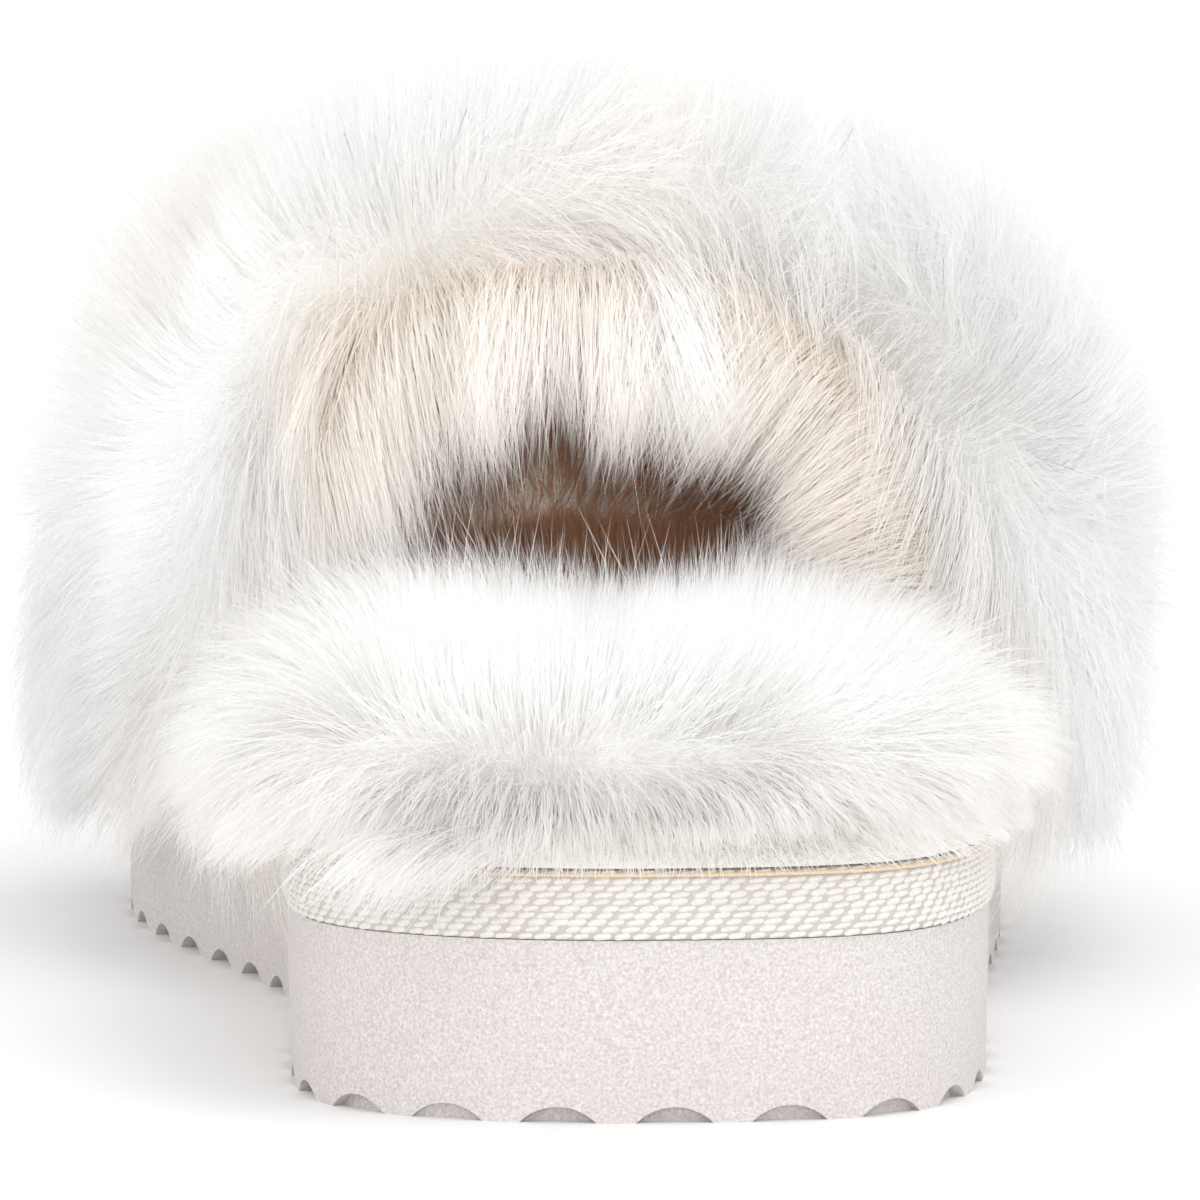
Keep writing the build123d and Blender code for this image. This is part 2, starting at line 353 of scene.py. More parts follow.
def strand_mesh(name, line, normal, tint, width, rng, material):
    """Flat tapered strands on centre lines, each turned at random about its own line."""
    count = len(line)
    t = np.linspace(0, 1, STEPS + 1)
    along = unit(np.gradient(line, axis=1))
    spread = normal[:, None, :] + TWIST * rng.normal(size=(count, 1, 3))
    across = unit(np.cross(along, spread))
    half = 0.5 * np.asarray(width).reshape(-1, 1, 1) * (1 - TAPER * t**TAPER_POWER)[None, :, None]
    sides = np.stack([(line - across * half)[:, :STEPS], (line + across * half)[:, :STEPS]], axis=2)
    points = np.concatenate([sides.reshape(count, 2 * STEPS, 3), line[:, STEPS:]], axis=1)
    corners, totals = strand_faces(count)
    starts = np.concatenate([[0], np.cumsum(totals)[:-1]])
    mesh = bpy.data.meshes.new(name)
    mesh.vertices.add(count * (2 * STEPS + 1))
    mesh.vertices.foreach_set("co", points.reshape(-1).astype(np.float32))
    mesh.loops.add(len(corners))
    mesh.loops.foreach_set("vertex_index", corners.astype(np.int32))
    mesh.polygons.add(len(totals))
    mesh.polygons.foreach_set("loop_start", starts.astype(np.int32))
    mesh.polygons.foreach_set("loop_total", totals.astype(np.int32))
    mesh.polygons.foreach_set("use_smooth", np.ones(len(totals), dtype=bool))
    mesh.update(calc_edges=True)
    set_uv(mesh, strand_uv(tint)[corners])
    return riding(name, mesh, material)


# One way of drawing strands together: the share of strands that are guides, the least and the most
# that the others are pulled to them, and the power of the pull's growth along a strand.
Gathering = namedtuple("Gathering", "guides least most power")
RUFFLE = 0.055
THINNEST = 0.65
THICKEST = 1.35


def grow(name, roots, pieces, seed, material, width, locks, wisps):
    """One kind of pile: lines bent, gathered into locks and then wisps, meshed in a few pieces."""
    rng = np.random.default_rng(seed)
    place, first, last, length, normal, tint = roots
    line = curves(place, first, last, length)
    for kind in (locks, wisps):
        guide = nearest_guides(place, kind.guides, rng)
        line = gather(line, guide, rng.uniform(kind.least, kind.most, size=len(place)), kind.power)
    line = keep_clear(ruffle(line, length, RUFFLE, rng))
    widths = width * rng.uniform(THINNEST, THICKEST, size=len(place))
    made = []
    for index, part in enumerate(np.array_split(np.argsort(place[:, 1]), pieces)):
        label = f"{name}_{index + 1}"
        made.append(
            strand_mesh(label, line[part], normal[part], tint[part], widths[part], rng, material)
        )
    return made


def joined(*groups):
    """Several sets of roots as one."""
    return tuple(np.concatenate(values) for values in zip(*groups))


# ==== materials =====================================================================
def new_material(name):
    """A material with its node tree and its shader."""
    material = bpy.data.materials.new(name)
    material.use_nodes = True
    tree = material.node_tree
    return material, tree, tree.nodes["Principled BSDF"]


def colour_ramp(tree, stops, source):
    """A colour that runs through the stops, each (position, colour), as the source goes 0 to 1."""
    node = tree.nodes.new("ShaderNodeValToRGB")
    node.color_ramp.elements[0].position = stops[0][0]
    node.color_ramp.elements[0].color = (*stops[0][1], 1)
    node.color_ramp.elements[1].position = stops[-1][0]
    node.color_ramp.elements[1].color = (*stops[-1][1], 1)
    for position, colour in stops[1:-1]:
        element = node.color_ramp.elements.new(position)
        element.color = (*colour, 1)
    tree.links.new(source, node.inputs["Fac"])
    return node.outputs["Color"]


def multiply(tree, a, b):
    """The product of two colours."""
    node = tree.nodes.new("ShaderNodeMix")
    node.data_type = "RGBA"
    node.blend_type = "MULTIPLY"
    node.inputs["Factor"].default_value = 1.0
    tree.links.new(a, node.inputs["A"])
    tree.links.new(b, node.inputs["B"])
    return node.outputs["Result"]


def fur_material(name, tints, root, through):
    """Pile: a tint from strand to strand, darker at the root, with light passing through."""
    material, tree, shader = new_material(name)
    uv = tree.nodes.new("ShaderNodeUVMap")
    uv.uv_map = "OFBake"
    split = tree.nodes.new("ShaderNodeSeparateXYZ")
    tree.links.new(uv.outputs["UV"], split.inputs["Vector"])
    tint = colour_ramp(tree, tints, split.outputs["X"])
    white = (1.0, 1.0, 1.0)
    shade = colour_ramp(tree, [(0.0, root), (0.55, white), (1.0, white)], split.outputs["Y"])
    colour = multiply(tree, tint, shade)
    tree.links.new(colour, shader.inputs["Base Color"])
    shader.inputs["Roughness"].default_value = 0.6
    shader.inputs["Specular IOR Level"].default_value = 0.25
    glow = tree.nodes.new("ShaderNodeBsdfTranslucent")
    tree.links.new(colour, glow.inputs["Color"])
    mix = tree.nodes.new("ShaderNodeMixShader")
    mix.inputs["Fac"].default_value = through
    tree.links.new(shader.outputs["BSDF"], mix.inputs[1])
    tree.links.new(glow.outputs["BSDF"], mix.inputs[2])
    tree.links.new(mix.outputs["Shader"], tree.nodes["Material Output"].inputs["Surface"])
    return material


def noise(tree, scale, detail=2.0, roughness=0.5):
    """A noise texture in object space; scale is in features per metre."""
    where = tree.nodes.new("ShaderNodeTexCoord")
    node = tree.nodes.new("ShaderNodeTexNoise")
    node.inputs["Scale"].default_value = scale
    node.inputs["Detail"].default_value = detail
    node.inputs["Roughness"].default_value = roughness
    tree.links.new(where.outputs["Object"], node.inputs["Vector"])
    return node.outputs["Fac"]


def cells(tree, scale):
    """Distance to the nearest cell's middle in object space; scale is in cells per metre."""
    where = tree.nodes.new("ShaderNodeTexCoord")
    node = tree.nodes.new("ShaderNodeTexVoronoi")
    node.inputs["Scale"].default_value = scale
    tree.links.new(where.outputs["Object"], node.inputs["Vector"])
    return node.outputs["Distance"]


def bump(tree, shader, height, strength, depth):
    """Relief of this depth from a height that goes 0 to 1."""
    node = tree.nodes.new("ShaderNodeBump")
    node.inputs["Strength"].default_value = strength
    node.inputs["Distance"].default_value = depth
    tree.links.new(height, node.inputs["Height"])
    tree.links.new(node.outputs["Normal"], shader.inputs["Normal"])


DRIFT_TINT = (0.95, 0.94, 0.93)


def grained(name, dark, light, grain, broad, roughness, strength, depth, use_cells=False):
    """A matt material: broad colour drift, fine grain colour, and the same grain as relief.
    grain and broad are the features per metre of the grain and of the drift."""
    material, tree, shader = new_material(name)
    fine = cells(tree, grain) if use_cells else noise(tree, grain, detail=3.0, roughness=0.6)
    middle = tuple((a + b) / 2 for a, b in zip(dark, light))
    speck = colour_ramp(tree, [(0.25, dark), (0.5, middle), (0.75, light)], fine)
    drift = colour_ramp(tree, [(0.3, DRIFT_TINT), (0.7, (1, 1, 1))], noise(tree, broad))
    tree.links.new(multiply(tree, speck, drift), shader.inputs["Base Color"])
    shader.inputs["Roughness"].default_value = roughness
    shader.inputs["Specular IOR Level"].default_value = 0.3
    bump(tree, shader, fine, strength, depth)
    return material


WHITE = (0.960, 0.962, 0.966)
CREAM = (0.96, 0.925, 0.88)
# The tan end of the pile's tints is painted shade: it stands in for the warm shade deep in the foot
# opening, under the upper.
CAVITY_SHADE_TAN = (0.92, 0.59, 0.34)
pile_tints = [(0.0, WHITE), (0.5, CREAM), (1.0, CAVITY_SHADE_TAN)]
vamp_pile = fur_material("vamp_pile", pile_tints, root=(0.99, 0.98, 0.965), through=0.68)
lining_pile = fur_material("lining_pile", pile_tints, root=(0.97, 0.93, 0.88), through=0.66)
sock_pile = fur_material("sock_pile", pile_tints, root=(0.995, 0.985, 0.97), through=0.78)
sole_foam = grained(
    "sole_foam", dark=(0.47, 0.43, 0.41), light=(0.78, 0.745, 0.73),
    grain=2900, broad=22, roughness=0.85, strength=0.35, depth=0.12 * MM,
)
cell_foam = grained(
    "cell_foam", dark=(0.80, 0.77, 0.70), light=(0.90, 0.88, 0.83),
    grain=900, broad=30, roughness=0.9, strength=0.5, depth=0.3 * MM, use_cells=True,
)
soft_foam = grained(
    "soft_foam", dark=(0.84, 0.80, 0.72), light=(0.93, 0.90, 0.84),
    grain=1400, broad=30, roughness=0.95, strength=0.5, depth=0.2 * MM, use_cells=True,
)
fibre_board = grained(
    "fibre_board", dark=(0.42, 0.31, 0.20), light=(0.62, 0.50, 0.36),
    grain=1800, broad=60, roughness=0.9, strength=0.4, depth=0.1 * MM,
)
felted = grained(
    "felted", dark=(0.80, 0.74, 0.65), light=(0.90, 0.85, 0.77),
    grain=2200, broad=40, roughness=0.95, strength=0.5, depth=0.15 * MM,
)
knitted = grained(
    "knitted", dark=(0.84, 0.76, 0.66), light=(0.93, 0.88, 0.80),
    grain=1500, broad=50, roughness=0.95, strength=0.5, depth=0.2 * MM, use_cells=True,
)
backing = grained(
    "backing", dark=(0.90, 0.88, 0.85), light=(0.95, 0.94, 0.92),
    grain=1500, broad=50, roughness=0.95, strength=0.5, depth=0.2 * MM, use_cells=True,
)
# The underfur is painted grey: painted shade of the dense pile deep between the strands. The second,
# lighter copy is used on the footbed: the same painted shade set at another strength.
underfur = grained(
    "underfur", dark=(0.80, 0.80, 0.79), light=(0.90, 0.90, 0.89),
    grain=2600, broad=60, roughness=0.95, strength=0.6, depth=0.3 * MM,
)
lighter_shaded_underfur = grained(
    "lighter_shaded_underfur", dark=(0.84, 0.84, 0.83), light=(0.92, 0.92, 0.91),
    grain=2600, broad=60, roughness=0.95, strength=0.6, depth=0.3 * MM,
)
tape_yarn = grained(
    "tape_yarn", dark=(0.68, 0.65, 0.615), light=(0.82, 0.80, 0.775),
    grain=2600, broad=45, roughness=0.75, strength=0.3, depth=0.04 * MM,
)
# The ground cloth is darker than the yarn: painted shade in the gaps between the floats.
shaded_tape_ground = grained(
    "shaded_tape_ground", dark=(0.48, 0.45, 0.41), light=(0.60, 0.57, 0.52),
    grain=3200, broad=45, roughness=0.95, strength=0.4, depth=0.05 * MM,
)
thread = grained(
    "thread", dark=(0.66, 0.49, 0.32), light=(0.86, 0.72, 0.55),
    grain=4200, broad=60, roughness=0.7, strength=0.5, depth=0.05 * MM,
)


# ==== cloths under the pile =========================================================
def shell_cloth(name, mask, lift, material):
    """A layer on one face of the interlining; lift gives its height above each place."""
    corners = np.round(shell_points[mask].reshape(-1, 3), 6)
    points, index = np.unique(corners, axis=0, return_inverse=True)
    normals = np.zeros_like(points)
    np.add.at(normals, index.reshape(-1), shell_normals[mask].reshape(-1, 3))
    faces = index.reshape(-1, 3)
    faces = [f for f in faces if len(set(f)) == 3]
    return mesh_piece(name, points + unit(normals) * column(lift(points)), faces, material)


def ring_shell(name, profile, cover, count, material, top=False, bottom=False):
    """A skin round the sole's edge; profile gives (inset, height) for each of its rings.
    cover moves the rings inwards where the upper stands; top and bottom close the last and first."""
    walked = np.linspace(0, edge_length, count, endpoint=False)
    rim = on_edge(walked, np.zeros(count), np.full(count, platform_top))
    moved = cover * under_upper(rim)
    rings = [on_edge(walked, -(inset + moved), np.full(count, height)) for inset, height in profile]
    faces = []
    for ring in range(len(profile) - 1):
        for k in range(count):
            a, b = ring * count + k, ring * count + (k + 1) % count
            faces.append((a, b, b + count, a + count))
    if top:
        faces.append(tuple((len(profile) - 1) * count + k for k in range(count)))
    if bottom:
        faces.append(tuple(range(count))[::-1])
    return mesh_piece(name, np.vstack(rings), faces, material)


UNDERFUR_UPPER = 7.5 * MM
UNDERFUR_SOCK = 7.0 * MM
TUFT_CELL = 9 * MM
TUFT_SHARE = 0.14


def tufted(place, seed):
    """How far the underfur's depth rises and falls from tuft to tuft, about 1."""
    return 1 + TUFT_SHARE * waves(place, TUFT_CELL, np.random.default_rng(seed))[:, 0]


CLOTH_GAP = 0.12 * MM
UNDERFUR_GAP = 0.2 * MM
DEEP_AHEAD_ZONE = (4 * MM, 24 * MM)
DEEP_HEIGHT_ZONE = (3 * MM, 20 * MM)


def close_fit(place):
    """The cloth that the pile is knitted into lies straight on the interlining."""
    return np.full(len(place), CLOTH_GAP)


def underfur_depth(place):
    """Dense underfur: deep over the middle of the upper, nothing at its edges."""
    height = place[:, 2] - platform_top
    cover = ramp(ahead_of_opening(place), *DEEP_AHEAD_ZONE) * ramp(height, *DEEP_HEIGHT_ZONE)
    return UNDERFUR_GAP + UNDERFUR_UPPER * cover * tufted(place, seed=41)


SOCK_RISE = 5.3 * MM
SOCK_ROLL = 2.4 * MM
SOCK_GAP = 0.1 * MM
UNDER_UPPER = 4.6 * MM


def sock_height(inset):
    """Height of the footbed's cloth, which rolls up from the platform's edge over the cushion."""
    return platform_top + SOCK_GAP + SOCK_RISE * (1 - np.exp(-np.maximum(inset, 0) / SOCK_ROLL))


UNDERFUR_PITCH = 2 * MM
UNDERFUR_SUNK = 0.4 * MM
DOME_ZONE = (0.5 * MM, 15 * MM)
THINNED_ZONE = (-10 * MM, 8 * MM)
THINNED_SHARE = 0.85


def footbed_underfur(seed):
    """Dense underfur of the footbed: a low dome that sinks into the cloth at the platform's edge."""
    low, high = edge.min(axis=0), edge.max(axis=0)
    across, along = np.meshgrid(*(np.arange(low[k], high[k], UNDERFUR_PITCH) for k in (0, 1)))
    place = np.column_stack([across.ravel(), along.ravel(), np.full(across.size, platform_top)])
    inside, _ = from_edge(place)
    inset = inside - UNDER_UPPER * under_upper(place)
    thinned = 1 - THINNED_SHARE * ramp(ahead_of_opening(place), *THINNED_ZONE)
    depth = ramp(inset, *DOME_ZONE) * thinned * tufted(place, seed)
    place[:, 2] = sock_height(inset) - UNDERFUR_SUNK + UNDERFUR_SOCK * depth
    quads = grid_quads(*across.shape)
    quads = quads[(inset[quads] > DOME_ZONE[0]).all(axis=1)]
    used, flat = np.unique(quads, return_inverse=True)
    faces = flat.reshape(-1, 4)
    return mesh_piece("footbed_underfur", place[used], faces, lighter_shaded_underfur)


vamp_cloth = shell_cloth("vamp_cloth", outer_face, close_fit, backing)
lining_cloth = shell_cloth("lining_cloth", inner_face, close_fit, knitted)
vamp_underfur = shell_cloth("vamp_underfur", outer_face, underfur_depth, underfur)
RING_POINTS = 400
sock_insets = np.array([0.0, 0.5, 1.1, 1.9, 3.0, 4.5, 7.0, 11.0]) * MM
sock_profile = [(inset, sock_height(inset)) for inset in sock_insets]
sock_cloth = ring_shell(
    "sock_cloth", sock_profile, UNDER_UPPER, RING_POINTS, backing, top=True
)
sock_underfur = footbed_underfur(seed=43)
cushion_low, cushion_high = (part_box("footbed_cushion")[k][2] for k in (0, 1))
cushion_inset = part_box("footbed_cushion")[0][0] - edge[:, 0].min()
cushion_profile = [
    (cushion_inset + 0.7 * MM, cushion_low),
    (cushion_inset + 0.1 * MM, cushion_low + 0.6 * MM),
    (cushion_inset, (cushion_low + cushion_high) / 2),
    (cushion_inset + 0.3 * MM, cushion_high - 0.9 * MM),
    (cushion_inset + 1.2 * MM, cushion_high - 0.15 * MM),
    (cushion_inset + 2.8 * MM, cushion_high),
]
cushion = ring_shell(
    "footbed_pad", cushion_profile, 0.0, RING_POINTS, soft_foam, top=True, bottom=True
)
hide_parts("footbed_cushion")


# ==== fur of the upper ==============================================================
ROLL_ZONE = (0, 26 * MM)
COMBED_ZONE = (14 * MM, 60 * MM)
SKIRT_ZONE = (2 * MM, 26 * MM)
UPPER_SHORTEST = 13 * MM
UPPER_LONGEST = 29 * MM
ROLL_LENGTH = 24 * MM
UPPER_FULLNESS = 1.26
GUARD_SHARE = 0.05


def outer_fur(count, seed):
    """Roots on the upper's outer face. The fur rolls out over the foot opening (near), lies toeward
    further forward (far) and hangs over the platform (skirt)."""
    rng = np.random.default_rng(seed)
    place, normal = scatter(shell_points, shell_normals, outer_face * 1.0, count, rng)
    ahead = np.maximum(ahead_of_opening(place), 0)
    near = column(1 - ramp(ahead, *ROLL_ZONE))
    height = place[:, 2] - platform_top
    skirt = column(1 - ramp(height, *SKIRT_ZONE))
    side = column(1 - np.maximum(normal[:, 2], 0))
    far = column(ramp(ahead, *COMBED_ZONE))
    tuft_turn = 0.22 + 0.20 * far
    flow = waves(place, 40 * MM, rng) * 0.30 + waves(place, 13 * MM, rng) * tuft_turn
    first_far = unit(normal - 0.55 * skirt * UP)
    first_near = unit(0.40 * normal + 0.80 * opening_facing)
    stand = 1 - 0.45 * skirt
    comb = 0.15 + 0.75 * far
    droop = (0.20 + 0.55 * far) * side + 1.15 * skirt
    last_far = unit(normal * stand + comb * TOEWARD - droop * UP + flow)
    last_near = unit(0.15 * normal - 0.32 * TOEWARD - 1.0 * UP + 0.8 * flow)
    first = unit(lerp(first_far, first_near, near))
    last = lerp(last_far, 2.2 * last_near, near)
    reach = reach_to("vamp_fur", place, unit(first_far + last_far), 2 * MM, 20 * MM)
    reach = np.clip(reach, UPPER_SHORTEST, UPPER_LONGEST)
    leftness = np.maximum(-normal[:, 0], 0)
    reach = lerp(reach * (1 + 0.30 * skirt[:, 0] * leftness), ROLL_LENGTH, near[:, 0])
    lumps = 1 + 0.08 * waves(place, 22 * MM, rng)[:, 0] + 0.05 * waves(place, 8 * MM, rng)[:, 0]
    spread = rng.uniform(0.74, 1.06, size=count)
    guard = rng.random(count) < GUARD_SHARE
    spread[guard] = rng.uniform(1.06, 1.13, size=guard.sum())
    spread = np.where(near[:, 0] > 0.5, rng.uniform(0.6, 1.25, size=count), spread)
    fullness = UPPER_FULLNESS - 0.01 * normal[:, 0]
    length = reach * fullness * lumps * spread
    tint = near[:, 0] ** 1.6 * 0.25 + 0.02 + 0.07 * waves(place, 20 * MM, rng)[:, 0]
    tint = np.clip(tint + rng.uniform(-0.08, 0.08, size=count), 0, 0.6)
    return place, first, last, length, normal, tint


vamp_parts = grow(
    "vamp_fur", outer_fur(112000, seed=11), pieces=5, seed=30,
    material=vamp_pile, width=0.125 * MM,
    locks=Gathering(guides=0.006, least=0.05, most=0.35, power=1.6),
    wisps=Gathering(guides=0.10, least=0.10, most=0.65, power=1.5),
)
vamp_parts.append(vamp_underfur)
for piece in vamp_parts:
    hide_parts("vamp_fur")


# ==== fur of the lining, which rolls out round the foot opening =====================
RIM_DEPTH = 7 * MM
THINNING_DEPTH = 36 * MM
RIGHT_ZONE = (-8 * MM, 27 * MM)
# Painted shade: over these depths into the foot opening the lining's tint runs from cream to tan.
TAN_SHADE_ZONE = (1.5 * MM, 13 * MM)
DEEP_SHORTEST = 8 * MM
DEEP_LONGEST = 14 * MM
# The ring's fur is short low on the left, longest left of the crown and long all down the right.
LEFT_SIDE_LENGTH = 8 * MM
LEFT_CROWN_LENGTH = 46 * MM
RIGHT_SIDE_LENGTH = 34 * MM
RIGHT_CROWN_LENGTH = 35 * MM
LEFT_CROWN_ZONE = (0.48, 0.90)
RIGHT_CROWN_ZONE = (0.75, 0.98)


def lining_fur(count, seed):
    """Roots on the upper's inner face and its raw edge. At the edge (rim) the fur rolls out of the
    foot opening and falls over it like a curtain; deeper in, it stands short."""
    rng = np.random.default_rng(seed)
    depth = np.maximum(ahead_of_opening(face_middle), 0)
    weight = inner_face * (np.exp(-depth / THINNING_DEPTH) + 0.10) + raw_edge * 5.0
    place, normal = scatter(shell_points, shell_normals, weight, count, rng)
    outward = from_axis(place)
    ahead = np.maximum(ahead_of_opening(place), 0)
    rim = column(np.exp(-ahead / RIM_DEPTH))
    rightness = column(ramp(place[:, 0] - axis_x, *RIGHT_ZONE))
    crown = column(np.maximum(outward[:, 2], 0))
    flow = waves(place, 30 * MM, rng) * 0.06 + waves(place, 11 * MM, rng) * 0.11
    inward = lerp(0.05, 0.20, rightness)
    inward_deep = lerp(0.60, 1.0, rightness)
    first = unit(
        -outward * lerp(inward_deep, inward, rim)
        + opening_facing * (0.3 + 0.8 * rim)
        + UP * 0.10 * rim * crown
    )
    fall = lerp(1.0, 0.25 + 0.75 * crown**2, rightness) * (0.6 + 0.4 * rim)
    sweep = 0.95 * rightness * np.sqrt(1 - np.minimum(crown, 1) ** 2)
    close_in = inward + 0.6 * inward_deep * (1 - rim)
    last = unit(-outward * close_in - RIGHT * sweep - TOEWARD * 0.15 * rim - UP * fall + flow)
    reach = reach_to("vamp_lining", place, unit(first + last), 1.5 * MM, 12 * MM)
    deep_length = np.clip(reach, DEEP_SHORTEST, DEEP_LONGEST)
    deep_length *= 0.55 + 0.45 * rightness[:, 0]
    left_crown = ramp(crown[:, 0], *LEFT_CROWN_ZONE)
    right_crown = ramp(crown[:, 0], *RIGHT_CROWN_ZONE)
    left_curtain = lerp(LEFT_SIDE_LENGTH, LEFT_CROWN_LENGTH, left_crown)
    right_curtain = lerp(RIGHT_SIDE_LENGTH, RIGHT_CROWN_LENGTH, right_crown)
    rim_length = lerp(left_curtain, right_curtain, rightness[:, 0])
    lumps = 1 + 0.04 * waves(place, 16 * MM, rng)[:, 0] + 0.04 * waves(place, 6 * MM, rng)[:, 0]
    length = lerp(deep_length, rim_length, rim[:, 0]) * lumps * rng.uniform(0.75, 1.08, size=count)
    # The lining's own colour is cream at the rim; the tan further in is painted shade of the foot
    # cavity.
    tint = 0.36 + 0.64 * ramp(ahead, *TAN_SHADE_ZONE) + 0.07 * waves(place, 18 * MM, rng)[:, 0]
    tint = np.clip(tint + rng.uniform(-0.08, 0.08, size=count), 0.2, 1)
    return place, first, last, length, outward, tint


def parting_lock(count, seed):
    """The white lock that parts the ring of fur at the crown and falls to the right."""
    rng = np.random.default_rng(seed)
    shell_corners = shell_points.reshape(-1, 3)
    crown_point = shell_corners[shell_corners[:, 2].argmax()]
    middle = crown_point + RIGHT * (axis_x + 8 * MM - crown_point[0])
    place = middle + rng.normal(size=(count, 3)) * np.array([2.6, 1.6, 0.2]) * MM
    place[:, 2] = middle[2] + 0.5 * MM
    first = unit(-TOEWARD + UP * 0.50 + RIGHT * 0.05 + rng.normal(size=(count, 3)) * 0.09)
    last = 1.6 * unit(-TOEWARD * 0.30 + RIGHT * 0.32 - UP * 1.1 + rng.normal(size=(count, 3)) * 0.07)
    length = rng.uniform(30, 42, size=count) * MM
    normal = np.tile(opening_facing, (count, 1))
    return place, first, last, length, normal, rng.uniform(0.0, 0.08, size=count)


lining_roots = joined(lining_fur(56000, seed=12), parting_lock(700, seed=15))
lining_parts = grow(
    "vamp_lining", lining_roots, pieces=3, seed=50,
    material=lining_pile, width=0.125 * MM,
    locks=Gathering(guides=0.006, least=0.02, most=0.25, power=1.5),
    wisps=Gathering(guides=0.10, least=0.10, most=0.60, power=1.4),
)
for piece in lining_parts:
    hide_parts("vamp_lining")


# ==== fur of the footbed ============================================================
FOOTBED_SHORTEST = 10 * MM
FOOTBED_LONGEST = 23 * MM
FOOTBED_FULLNESS = 1.10
HANGING_ZONE = (3 * MM, 25 * MM)
SHOULDER_ZONE = (1 * MM, 9 * MM)
LEFT_ZONE = (-2 * MM, 24 * MM)
# Painted shade: over these depths under the upper the footbed's pile is tinted towards tan.
FOOT_ROOM_SHADE_ZONE = (0, 22 * MM)
# Fewer strands are needed far under the upper and in the middle of the footbed.
HIDDEN_ZONE = (12 * MM, 40 * MM)
HIDDEN_SHARE = 0.22
MIDDLE_ZONE = (14 * MM, 26 * MM)
MIDDLE_SHARE = 0.72


def footbed_places(count, rng):
    """Roots over the whole footbed, fewer under the upper, none where the upper stands."""
    tries = 3 * count
    low, high = edge.min(axis=0), edge.max(axis=0)
    place = np.column_stack([rng.uniform(low, high, size=(tries, 2)), np.full(tries, platform_top)])
    inside, outward = from_edge(place)
    covered = under_upper(place)
    inset = inside - UNDER_UPPER * covered
    wanted = lerp(1.0, HIDDEN_SHARE, ramp(ahead_of_opening(place), *HIDDEN_ZONE))
    wanted *= lerp(1.0, MIDDLE_SHARE, ramp(inset, *MIDDLE_ZONE))
    kept = (inset > 0) & (rng.random(tries) < wanted)
    kept = np.flatnonzero(kept)[:count]
    place[:, 2] = sock_height(inset)
    return place[kept], inset[kept], outward[kept], covered[kept]


def footbed_fur(count, seed):
    """Roots on the footbed's cloth. The pile stands up, and near the platform's free edge (rim) it
    leans out and hangs over the tape, most on the left."""
    rng = np.random.default_rng(seed)
    place, inset, outward, covered = footbed_places(count, rng)
    count = len(place)
    free = 1 - covered
    rim = column((1 - ramp(inset, *HANGING_ZONE)) * free)
    steep = column(np.exp(-inset / SOCK_ROLL) * SOCK_RISE / SOCK_ROLL)
    normal = unit(UP + outward * steep)
    left = ramp(-place[:, 0], *LEFT_ZONE)
    ripple = waves(place, 16 * MM, rng)
    hang = column(np.clip(1.0 + 0.3 * left + 0.15 * ripple[:, 1], 0, 1.4))
    first = unit(UP * (1 - 0.45 * rim) + outward * rim * 0.85)
    flow = waves(place, 34 * MM, rng) * 0.15 + waves(place, 10 * MM, rng) * 0.12
    rise = 1 - 0.75 * rim - 1.15 * hang * rim
    last = unit(UP * rise + outward * rim * 0.9 - RIGHT * 0.10 + flow)
    reach = reach_to("footbed_fur", place, unit(first + last), 1 * MM, 12 * MM)
    reach = np.clip(reach, FOOTBED_SHORTEST, FOOTBED_LONGEST)
    shoulder = 1 - 0.42 * (1 - ramp(inset, *SHOULDER_ZONE)) * (1 - left) * free
    lumps = 1 + 0.05 * ripple[:, 0] + 0.04 * waves(place, 7 * MM, rng)[:, 0]
    length = reach * FOOTBED_FULLNESS * shoulder * lumps * rng.uniform(0.76, 1.05, size=count)
    length *= 1 + 0.35 * hang[:, 0] * rim[:, 0] * left
    # Under the upper the tint runs to tan: painted shade of the foot cavity.
    foot_room_shade = ramp(ahead_of_opening(place), *FOOT_ROOM_SHADE_ZONE)
    tint = 0.03 + 0.10 * rim[:, 0] + 0.90 * foot_room_shade + rng.uniform(-0.05, 0.08, size=count)
    return place, first, last, length, normal, np.clip(tint, 0, 1)


def guard_hairs(count, seed):
    """Long stray hairs that stand above the pile in front of the foot opening."""
    rng = np.random.default_rng(seed)
    x = rng.normal(-6 * MM, 13 * MM, size=count)
    y = low_shell[1] - rng.uniform(12 * MM, 34 * MM, size=count)
    place = np.column_stack([x, y, np.full(count, platform_top + SOCK_RISE)])
    lean = rng.normal(size=(count, 3)) * 0.13
    first = unit(UP + lean)
    last = unit(UP + lean * 2.0)
    length = rng.uniform(25, 31, size=count) * MM
    normal = np.tile(-TOEWARD, (count, 1))
    return place, first, last, length, normal, rng.uniform(0.1, 0.4, size=count)


def heel_lock(count, seed):
    """The lock that hangs over the platform's tape at the back left."""
    rng = np.random.default_rng(seed)
    heel_y = edge[:, 1].min()
    middle = np.array([-13 * MM, heel_y + 3.5 * MM, platform_top + 3 * MM])
    place = middle + rng.normal(size=(count, 3)) * np.array([4.0, 1.0, 0.5]) * MM
    first = unit(-TOEWARD * 0.9 - RIGHT * 0.5 + UP * 0.25 + rng.normal(size=(count, 3)) * 0.10)
    last = unit(-TOEWARD * 0.10 - RIGHT * 0.75 - UP * 0.95 + rng.normal(size=(count, 3)) * 0.12)
    length = rng.uniform(12, 21, size=count) * MM
    normal = np.tile(-TOEWARD, (count, 1))
    return place, first, last, length, normal, rng.uniform(0.0, 0.15, size=count)


